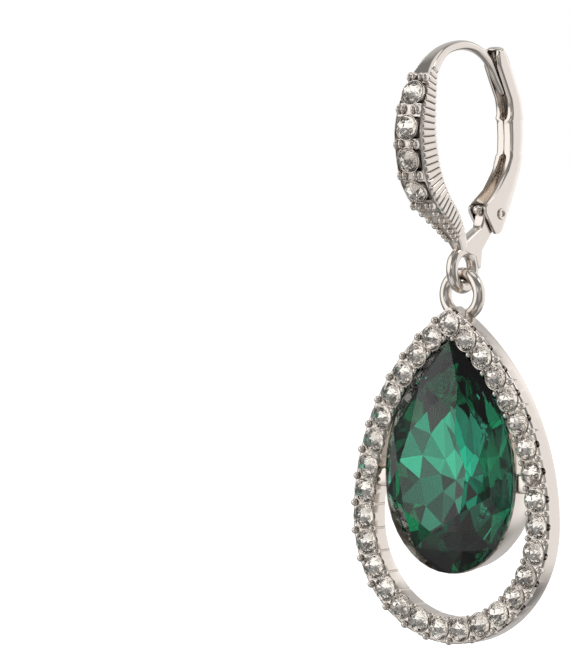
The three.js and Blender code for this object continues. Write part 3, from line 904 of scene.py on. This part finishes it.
def lever_ring(row, lever):
    """A section of the folded sheet at one height: back wall, two cheeks and their turned-in lips."""
    back = lever.pivot_back + row["back"] * lever.bow
    front = lever.pivot_back + row["front"] * lever.bow
    z = -lever.pivot_below - lever.below + row["up"] * lever.height
    half = row["width"] * lever.width / 2
    wall = lever.wall
    soft = min(0.22 * MM, (back - front) / 3)
    inner = half - wall
    seam = 0.03 * MM
    lip = inner - row["fold"] * (inner - seam)
    turn = min((0.08 + 0.2 * min(row["fold"] / 0.15, 1.0)) * MM, (back - front) / 4)
    near, far = turn * 0.134, turn * 0.5
    middle = (back + front) / 2
    deep = min(front + wall * 0.8, middle)
    outside = [(lip, front), (half - turn, front), (half - far, front + near), (half - near, front + far),
               (half, front + turn), (half, middle), (half, back - soft),
               (half - soft * 0.3, back - soft * 0.3), (half - soft, back)]
    inside = [(inner - soft * 0.5, back - wall), (inner, back - wall - soft * 0.5), (inner, middle),
              (inner, deep), (lip, deep)]
    right = outside + [(0.0, back)]
    left = [(-x, y) for x, y in reversed(outside)]
    inside_left = [(-x, y) for x, y in reversed(inside)]
    section = right + left + inside_left + [(0.0, back - wall)] + inside
    return [Vector((x, y, z)) for x, y in section]


class EARRING_OT_lever(bpy.types.Operator):
    """Model the folded lever with its pinched waist"""
    bl_idname = "earring.lever"
    bl_label = "Lever"

    def execute(self, context):
        lever = context.scene.earring_lever
        rings = [lever_ring(row, lever) for row in LEVER_LINE]
        sheet = skin("lever_sheet", rings)
        tip = LEVER_LINE[-1]
        middle = lever.pivot_back + (tip["back"] + tip["front"]) / 2 * lever.bow
        top = -lever.pivot_below - lever.below + tip["up"] * lever.height
        cap = pebble(0.9 * lever.width, 0.55 * lever.width, 1.6 * lever.wall,
                     (0, middle, top - 0.35 * lever.wall))
        room = lever.below + lever.web_end
        low = -lever.pivot_below - lever.below + room / 2 - lever.wall / 2
        slot = block(lever.width - 2 * lever.wall, 3 * lever.bow, room, (0, lever.pivot_back, low))
        whole = joined_up([rounded(cut(sheet, [slot]), SHEET_EDGE, 2, math.radians(50)), cap])
        plated(smooth(whole, 40), "lever_metal", "lever", "lever")
        return {"FINISHED"}


class EARRING_OT_rivet(bpy.types.Operator):
    """Model the tubular rivet that the lever turns on"""
    bl_idname = "earring.rivet"
    bl_label = "Rivet"

    def execute(self, context):
        lever = context.scene.earring_lever
        length = lever.width + 2 * lever.head
        at = (0, lever.pivot_back, -lever.pivot_below)
        cleared()
        bpy.ops.mesh.primitive_cylinder_add(vertices=40, radius=lever.rivet / 2, depth=length, location=at,
                                            rotation=(0, math.pi / 2, 0))
        rivet = bpy.context.object
        bpy.ops.object.mode_set(mode="EDIT")
        mesh = bmesh.from_edit_mesh(rivet.data)
        bpy.ops.mesh.select_all(action="DESELECT")
        for face in mesh.faces:
            face.select = len(face.verts) > 4
        bmesh.update_edit_mesh(rivet.data)
        rim, lip, sunk, bore = lever.rivet * 0.24, lever.rivet * 0.05, 0.16 * MM, 0.8
        bpy.ops.mesh.inset(thickness=rim, use_individual=True)
        bpy.ops.transform.resize(value=(1, 1, 1 - sunk / length), orient_type="LOCAL")
        bpy.ops.mesh.inset(thickness=lip, use_individual=True)
        bpy.ops.transform.resize(value=(1, 1, bore), orient_type="LOCAL")
        bpy.ops.object.mode_set(mode="OBJECT")
        rivet = rounded(settled(rivet), SHEET_EDGE, 2)
        plated(smooth(rivet), "rivet_metal", "hinge_pin", "hook")
        return {"FINISHED"}


def halo_centre(scene):
    """The halo's centre, from the hook, the bail ring and the halo's own arcs."""
    hook, halo = scene.earring_hook, scene.earring_halo
    loop_bottom = hook.wire / 2 - hook.drop - (hook.loop_height - hook.loop_wire)
    swing = loop_bottom + (hook.loop_wire + halo.bail_wire) / 2 + halo.link_gap
    bail = swing - (halo.bail - halo.bail_wire) / 2
    shift = halo.side - halo.width / 2
    rise = math.sqrt(halo.side ** 2 - shift ** 2)
    return bail, Vector((0, hook.plane, bail - halo.bail_to_halo - rise))


def halo_at(halo, share):
    """A point and its outward direction at a share of the way round the stone line, clockwise."""
    shift = halo.side - halo.width / 2
    tip = math.acos(shift / halo.side)
    side_length, end_length = tip * halo.side, math.pi * halo.width / 2
    distance = share % 1 * (2 * side_length + end_length)
    left = distance > side_length + end_length / 2
    down = 2 * side_length + end_length - distance if left else distance
    mirror = -1 if left else 1
    on_side = down < side_length
    radius = halo.side if on_side else halo.width / 2
    angle = tip - down / halo.side if on_side else -(down - side_length) / (halo.width / 2)
    x = radius * math.cos(angle) - (shift if on_side else 0)
    return (Vector((mirror * max(x, 0), 0, radius * math.sin(angle))),
            Vector((mirror * math.cos(angle), 0, math.sin(angle))))


def halo_outline(halo, grow, steps):
    """The stone line grown outwards, clockwise from its point."""
    side, turn = halo.side + grow, halo.width / 2 + grow
    shift = halo.side - halo.width / 2
    tip = math.acos(shift / side)
    right = [(side * math.cos(tip * (1 - k / steps)) - shift, side * math.sin(tip * (1 - k / steps)))
             for k in range(steps)]
    below = [(turn * math.cos(math.pi * k / steps), -turn * math.sin(math.pi * k / steps))
             for k in range(steps)]
    left = [(-x, z) for x, z in reversed(right)][:-1]
    return right + below + [(-turn, 0)] + left


def pear_outline(pear, inset, side_steps, end_steps):
    """The cup's outline, inset, counter-clockwise from its point."""
    shift = pear.side - pear.width / 2
    side, half = pear.side - inset, pear.width / 2 - inset
    tip = math.acos(shift / side)
    angles = [tip * (1 - k / side_steps) for k in range(side_steps)]
    right = [(side * math.cos(angle) - shift, side * math.sin(angle)) for angle in angles]
    left = [(-x, z) for x, z in right]
    end = [(-half * math.cos(math.pi * k / end_steps), (inset - pear.end) * math.sin(math.pi * k / end_steps))
           for k in range(end_steps)]
    return left + end + [(half, 0)] + right[:0:-1]


class EARRING_OT_frame(bpy.types.Operator):
    """Model the halo band, its grains, the bail ring, the cup and the two bars"""
    bl_idname = "earring.frame"
    bl_label = "Drop frame"

    def execute(self, context):
        scene = context.scene
        halo, pear = scene.earring_halo, scene.earring_pear
        bail_z, centre = halo_centre(scene)
        front = centre + Vector((0, -halo.front, 0))
        band, grains_and_rims = halo_band(halo, scene.earring_stones, front)
        bail = ring_piece(halo.bail, halo.bail, halo.bail_wire, (0, centre.y, bail_z), False)
        whole = joined_up([band, pear_cup(pear, centre), bail, *cup_bars(halo, pear, centre),
                           *grains_and_rims])
        plated(smooth(whole), "drop_frame_metal", "pendant_frame", "drop")
        return {"FINISHED"}


def halo_band(halo, stones, front):
    """The band with its seats, notches, grooves and dents, and the grains and rims that go on it."""
    outer, inner = ([front + Vector((x, 0, z)) for x, z in halo_outline(halo, grow, HALO_STEPS)]
                    for grow in (halo.outer, -halo.inner))
    band = rounded(plate("halo_band", outer, (0, halo.thickness, 0), inner), BAND_EDGE, 4)
    seats, rims, notches, grooves, dents, outside, inside = [], [], [], [], [], [], []
    for k in range(halo.stones):
        spot, outward = halo_at(halo, k / halo.stones)
        seats.append(facing(AHEAD, front + spot + AHEAD * stones.lift))
        rims.append(facing(AHEAD, front + spot + AHEAD * stones.lift * 0.4))
        notches.append(facing(outward, front + spot))
        between, outward = halo_at(halo, (k + 0.5) / halo.stones)
        outside.append(facing(AHEAD, front + between + outward * (halo.outer - halo.outer_inset)))
        inside.append(facing(AHEAD, front + between - outward * (halo.inner - halo.inner_inset)))
        grooves.append(facing(AHEAD, front + between - outward * halo.inner))
        dent = 1.0 if min(k, halo.stones - 1 - k) < DEEP_DENTS else SHALLOW_DENT
        dents.append(facing(AHEAD, front + between + outward * halo.outer) @ Matrix.Scale(dent, 4))
    cutters = copied(seat_cutter(stones.halo, stones), seats)
    cutters += copied(rod(halo.notch, 2.6 * halo.outer, 20), notches)
    cutters += copied(rod(halo.groove, 3 * halo.thickness, 10), grooves) + copied(spike(halo), dents)
    band = cut(band, cutters)
    added = copied(pebble(halo.outer_grain, halo.outer_grain, 1.15 * halo.outer_grain), outside)
    added += copied(pebble(halo.inner_grain, halo.inner_grain, 1.1 * halo.inner_grain), inside)
    added += copied(collar(stones.halo + stones.gap, SHEET_EDGE), rims)
    return band, added


def cup_bars(halo, pear, centre):
    """The two short bars that join the cup to the halo."""
    height, depth = 1.6 * MM, 1.3 * MM
    start = pear.width / 2 - pear.wall
    reach = (halo.width - halo.inner) / 2 - start
    return [rounded(block(reach, depth, height, centre + Vector((
        side * (start + reach / 2), depth / 2 - pear.front + pear.wall, pear.rise))), CAST_EDGE)
            for side in (-1, 1)]


def pear_cup(pear, centre):
    """The cup: its closed back, its wall, the rolled rim and the seat inside."""
    middle = centre + Vector((0, -pear.front, pear.rise))
    back = pear.depth
    insets_and_depths = [
        (pear.back_edge * 2.6, back), (pear.back_edge, back), (pear.back_edge * 0.7, back - 0.12 * MM),
        (pear.taper * 1.5, back - 1.1 * MM), (pear.taper, back - 1.6 * MM),
        (0.0, 0.45 * MM), (0.0, 0.2 * MM), (pear.wall * 0.3, pear.lap), (pear.wall * 0.7, pear.lap),
        (pear.wall, 0.2 * MM), (pear.wall, pear.girdle + 0.06 * MM),
    ]
    rings = [[middle + Vector((x, depth, z)) for x, z in pear_outline(pear, inset, *CUP_STEPS)]
             for inset, depth in insets_and_depths]
    base = pear_outline(pear, pear.wall, *CUP_STEPS)
    for share, down in CUP_CAVITY:
        deep = pear.girdle + pear.pavilion * down
        rings.append([middle + Vector((x * share, deep, z * share)) for x, z in base])
    return skin("pear_cup", rings)


def hull(name, layers, tip):
    """A cut stone as the hull of layers of points and its tip, with flat facets."""
    cleared()
    bpy.ops.mesh.primitive_circle_add(vertices=len(layers[0]), radius=MM)
    stone = bpy.context.object
    stone.name = stone.data.name = name
    bpy.ops.object.mode_set(mode="EDIT")
    for layer in layers[1:]:
        bpy.ops.mesh.primitive_circle_add(vertices=len(layer), radius=MM)
    bpy.ops.mesh.primitive_circle_add(vertices=3, radius=MM)
    mesh = bmesh.from_edit_mesh(stone.data)
    points = [point for layer in layers for point in layer] + [tip] * 3
    for vertex, point in zip(mesh.verts, points):
        vertex.co = point
    bpy.ops.mesh.select_all(action="SELECT")
    bpy.ops.mesh.remove_doubles(threshold=0.0005 * MM)
    bpy.ops.mesh.select_all(action="SELECT")
    bpy.ops.mesh.convex_hull(join_triangles=False)
    bpy.ops.mesh.select_all(action="SELECT")
    bpy.ops.mesh.dissolve_limited(angle_limit=math.radians(0.6))
    bpy.ops.mesh.normals_make_consistent(inside=False)
    bpy.ops.object.mode_set(mode="OBJECT")
    return stone


def foil_backed(stone, crown, foil, axis, away):
    """Gives a stone its clear finish in front and its foil on the facets that face away from the front."""
    stone.data.materials.append(crown)
    stone.data.materials.append(foil)
    for face in stone.data.polygons:
        face.material_index = 1 if face.normal[axis] * away > FOIL_FACING else 0
    return stone


def toned(stone, chance, tones):
    """Gives each facet of a stone one of some tones, by seeded chance. The tones are painted light and
    painted shade on its foil.
    """
    faces = stone.data.polygons
    layer = stone.data.attributes.new("tone", "FLOAT", "FACE")
    layer.data.foreach_set("value", [chance.choice(tones) + chance.uniform(-TONE_SPREAD, TONE_SPREAD)
                                     for _ in faces])
    return stone


def round_stone(diameter):
    """A brilliant-cut stone with its table up along Z and its girdle at zero."""
    radius = diameter / 2
    layers = []
    for row in ROUND_CUT:
        reach, height, turn = row["radius"] * radius, row["height"] * radius, row["turn"] * math.pi / 8
        angles = [turn + 2 * math.pi * k / row["corners"] for k in range(row["corners"])]
        layers.append([Vector((reach * math.cos(angle), reach * math.sin(angle), height))
                       for angle in angles])
    return hull("round_stone", layers, Vector((0, 0, ROUND_TIP * radius)))


class EARRING_OT_small_stones(bpy.types.Operator):
    """Cut and set the small round stones of the halo and the hook"""
    bl_idname = "earring.small_stones"
    bl_label = "Small stones"

    def execute(self, context):
        scene = context.scene
        halo, stones = scene.earring_halo, scene.earring_stones
        chance = random.Random(SMALL_STONES_SEED)
        front = halo_centre(scene)[1] + AHEAD * halo.front
        places = []
        for k in range(halo.stones):
            aside, up = (chance.uniform(-STONE_LEAN, STONE_LEAN) for _ in range(2))
            lean = Vector((aside, -1, up)).normalized()
            at = front + halo_at(halo, k / halo.stones)[0] + AHEAD * stones.lift
            places.append(facing(lean, at, chance.uniform(0, math.pi / 4)))
        for k, stone in enumerate(copied(small_stone(stones.halo), places), start=1):
            toned(stone, chance, CRYSTAL_TONES)
            dressed(stone, f"halo_crystal_{k:02d}", f"halo_stone_{k:02d}", "drop")
        places = [facing(outward, at, chance.uniform(0, math.pi / 4))
                  for at, outward in seat_places(HookLine(scene.earring_hook), stones)]
        for k, stone in enumerate(copied(small_stone(stones.hook), places), start=1):
            toned(stone, chance, CRYSTAL_TONES)
            dressed(stone, f"hook_crystal_{k}", f"hook_stone_{k}", "hook")
        return {"FINISHED"}


def small_stone(diameter):
    """A small round stone with its clear crown and its silver foil."""
    return foil_backed(round_stone(diameter), finish_of("crystal_glass"), finish_of("silver_foil"), 2, -1)


class EARRING_OT_pear_stone(bpy.types.Operator):
    """Cut and set the large green pear-cut stone"""
    bl_idname = "earring.pear_stone"
    bl_label = "Pear-cut stone"

    def execute(self, context):
        scene = context.scene
        pear = scene.earring_pear
        middle = halo_centre(scene)[1] + Vector((0, -pear.front, pear.rise))
        girdle = pear_outline(pear, PEAR_INSET, *PEAR_STEPS)

        def layer(points, share, depth):
            """A layer of corners, at a share of the outline and a depth behind the girdle."""
            return [middle + Vector((x * share, depth, z * share)) for x, z in points]
        layers = [
            layer(girdle[::6], 0.54, -pear.crown),
            layer(girdle[3::6], 0.82, -pear.crown * 0.62),
            layer(girdle, 1.0, -pear.lap),
            layer(girdle, 1.0, pear.lap * 0.5),
            layer(girdle[::4], 0.8, pear.girdle + pear.pavilion * 0.34),
            layer(girdle[2::4], 0.5, pear.girdle + pear.pavilion * 0.68),
            layer(girdle[::6], 0.22, pear.girdle + pear.pavilion * 0.9),
        ]
        stone = hull("pear_cut", layers, middle + Vector((0, pear.girdle + pear.pavilion, 0)))
        foil_backed(stone, finish_of("emerald_glass"), finish_of("green_foil"), 1, 1)
        toned(stone, random.Random(PEAR_STONE_SEED), EMERALD_TONES)
        dressed(stone, "pear_emerald", "pear_stone", "drop")
        return {"FINISHED"}


def aimed(azimuth, elevation):
    """The direction from the earring at a turn to the right of its front and a height above level."""
    return Vector((math.sin(azimuth) * math.cos(elevation), -math.cos(azimuth) * math.cos(elevation),
                   math.sin(elevation)))


def studio_world(scene):
    """A dim room with soft boxes round it. The metal and the facets mirror its light and dark quarters."""
    world = bpy.data.worlds.new("studio")
    scene.world = world
    sky = Finish(world)
    direction = sky.node("ShaderNodeTexCoord", output="Generated")
    room = ROOM_LIGHT
    for box in SOFT_BOXES:
        azimuth = scene.earring_stage.azimuth + math.radians(box["azimuth"])
        aim = aimed(azimuth, math.radians(box["elevation"]))
        toward = sky.node("ShaderNodeVectorMath", {"operation": "DOT_PRODUCT"}, {0: direction, 1: aim},
                          "Value")
        edge, core = (math.cos(math.radians(box[key])) for key in ("edge", "core"))
        fall = sky.node("ShaderNodeMapRange", {"interpolation_type": "SMOOTHSTEP"},
                        {"Value": toward, "From Min": edge, "From Max": core, "To Max": box["strength"]})
        room = fall + room
    seen = sky.node("ShaderNodeLightPath", output="Is Camera Ray")
    strength = seen + (1 - seen) * room
    background = sky.node("ShaderNodeBackground", None, {"Color": (1.0, 1.0, 1.0, 1), "Strength": strength})
    sky.node("ShaderNodeOutputWorld", None, {"Surface": background})
    scene.view_settings.view_transform = "Standard"


class EARRING_OT_stage(bpy.types.Operator):
    """Set the floor, the lights and the camera"""
    bl_idname = "earring.stage"
    bl_label = "Stage"

    def execute(self, context):
        scene = context.scene
        stage = scene.earring_stage
        low, high = (Vector(corner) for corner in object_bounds())
        centre = (low + high) / 2
        floor = primitive(bpy.ops.mesh.primitive_circle_add, vertices=96, radius=3.0, fill_type="NGON",
                          location=(0, 0, low.z - stage.floor_gap))
        floor.name = "floor"
        floor.visible_glossy = False
        floor.data.materials.append(pale_floor(scene.earring_finish))
        floor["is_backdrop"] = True
        studio_world(scene)
        for lamp in LAMPS:
            soft_lamp(lamp, centre)
        scene.camera = photo_camera(stage, centre)
        return {"FINISHED"}


def photo_camera(stage, centre):
    """The camera at the photograph's angle, framed so that the earring lies where it does there."""
    data = bpy.data.cameras.new("camera")
    data.sensor_fit = "VERTICAL"
    data.sensor_height = 36.0
    data.lens = data.sensor_height * stage.distance / stage.view_height
    data.shift_x = (PHOTO_MIDDLE[0] - EARRING_MIDDLE[0]) / PHOTO_HEIGHT
    data.shift_y = (EARRING_MIDDLE[1] - PHOTO_MIDDLE[1]) / PHOTO_HEIGHT
    data.clip_start = 0.01
    camera = bpy.data.objects.new("camera", data)
    bpy.context.collection.objects.link(camera)
    away = aimed(stage.azimuth, stage.elevation)
    camera.location = centre + away * stage.distance
    camera.rotation_euler = (-away).to_track_quat("-Z", "Y").to_euler()
    return camera


def soft_lamp(lamp, centre):
    """A square soft lamp aimed at the earring's middle."""
    data = bpy.data.lights.new(lamp["name"], "AREA")
    data.size = lamp["width"]
    data.energy = lamp["power"]
    light = bpy.data.objects.new(lamp["name"], data)
    light.location = centre + Vector((lamp["right"], lamp["behind"], lamp["above"]))
    light.rotation_euler = (centre - light.location).to_track_quat("-Z", "Y").to_euler()
    bpy.context.collection.objects.link(light)
    return light


def finish_of(name):
    """A finish by name, made once."""
    if name in bpy.data.materials:
        return bpy.data.materials[name]
    settings = bpy.context.scene.earring_finish
    made = {
        "polished_plate": lambda: polished_plate(settings),
        "crystal_glass": lambda: cut_glass(name, settings.crystal),
        "silver_foil": lambda: mirror_foil(name, settings.foil_painted_shade, settings.foil_painted_half_shade, settings.foil),
        "emerald_glass": lambda: cut_glass(name, settings.emerald),
        "green_foil": lambda: mirror_foil(name, settings.green_painted_shade, settings.green_painted_half_shade,
                                          settings.green_foil),
    }
    return made[name]()


class EARRING_PT_pieces(bpy.types.Panel):
    """The earring's pieces and stage"""
    bl_idname = "EARRING_PT_pieces"
    bl_label = "Teardrop earring"
    bl_space_type = "VIEW_3D"
    bl_region_type = "UI"
    bl_category = "Earring"

    def draw(self, context):
        for operator in OPERATORS:
            self.layout.operator(operator.bl_idname)


SETTINGS = {
    "earring_hook": HookSettings,
    "earring_lever": LeverSettings,
    "earring_halo": HaloSettings,
    "earring_pear": PearSettings,
    "earring_stones": StoneSettings,
    "earring_finish": FinishSettings,
    "earring_stage": StageSettings,
}
OPERATORS = (EARRING_OT_hook, EARRING_OT_lever, EARRING_OT_rivet, EARRING_OT_frame, EARRING_OT_small_stones,
             EARRING_OT_pear_stone, EARRING_OT_stage)
CLASSES = (*SETTINGS.values(), *OPERATORS, EARRING_PT_pieces)


def register():
    """Adds the classes and the scene's settings."""
    for cls in CLASSES:
        bpy.utils.register_class(cls)
    for name, group in SETTINGS.items():
        setattr(bpy.types.Scene, name, PointerProperty(type=group))


def unregister():
    """Removes the scene's settings and the classes."""
    for name in SETTINGS:
        delattr(bpy.types.Scene, name)
    for cls in reversed(CLASSES):
        bpy.utils.unregister_class(cls)


def main():
    """Builds the whole earring and its stage."""
    register()
    bpy.ops.earring.hook()
    bpy.ops.earring.lever()
    bpy.ops.earring.rivet()
    bpy.ops.earring.frame()
    bpy.ops.earring.small_stones()
    bpy.ops.earring.pear_stone()
    bpy.ops.earring.stage()


if __name__ == "__main__":
    main()
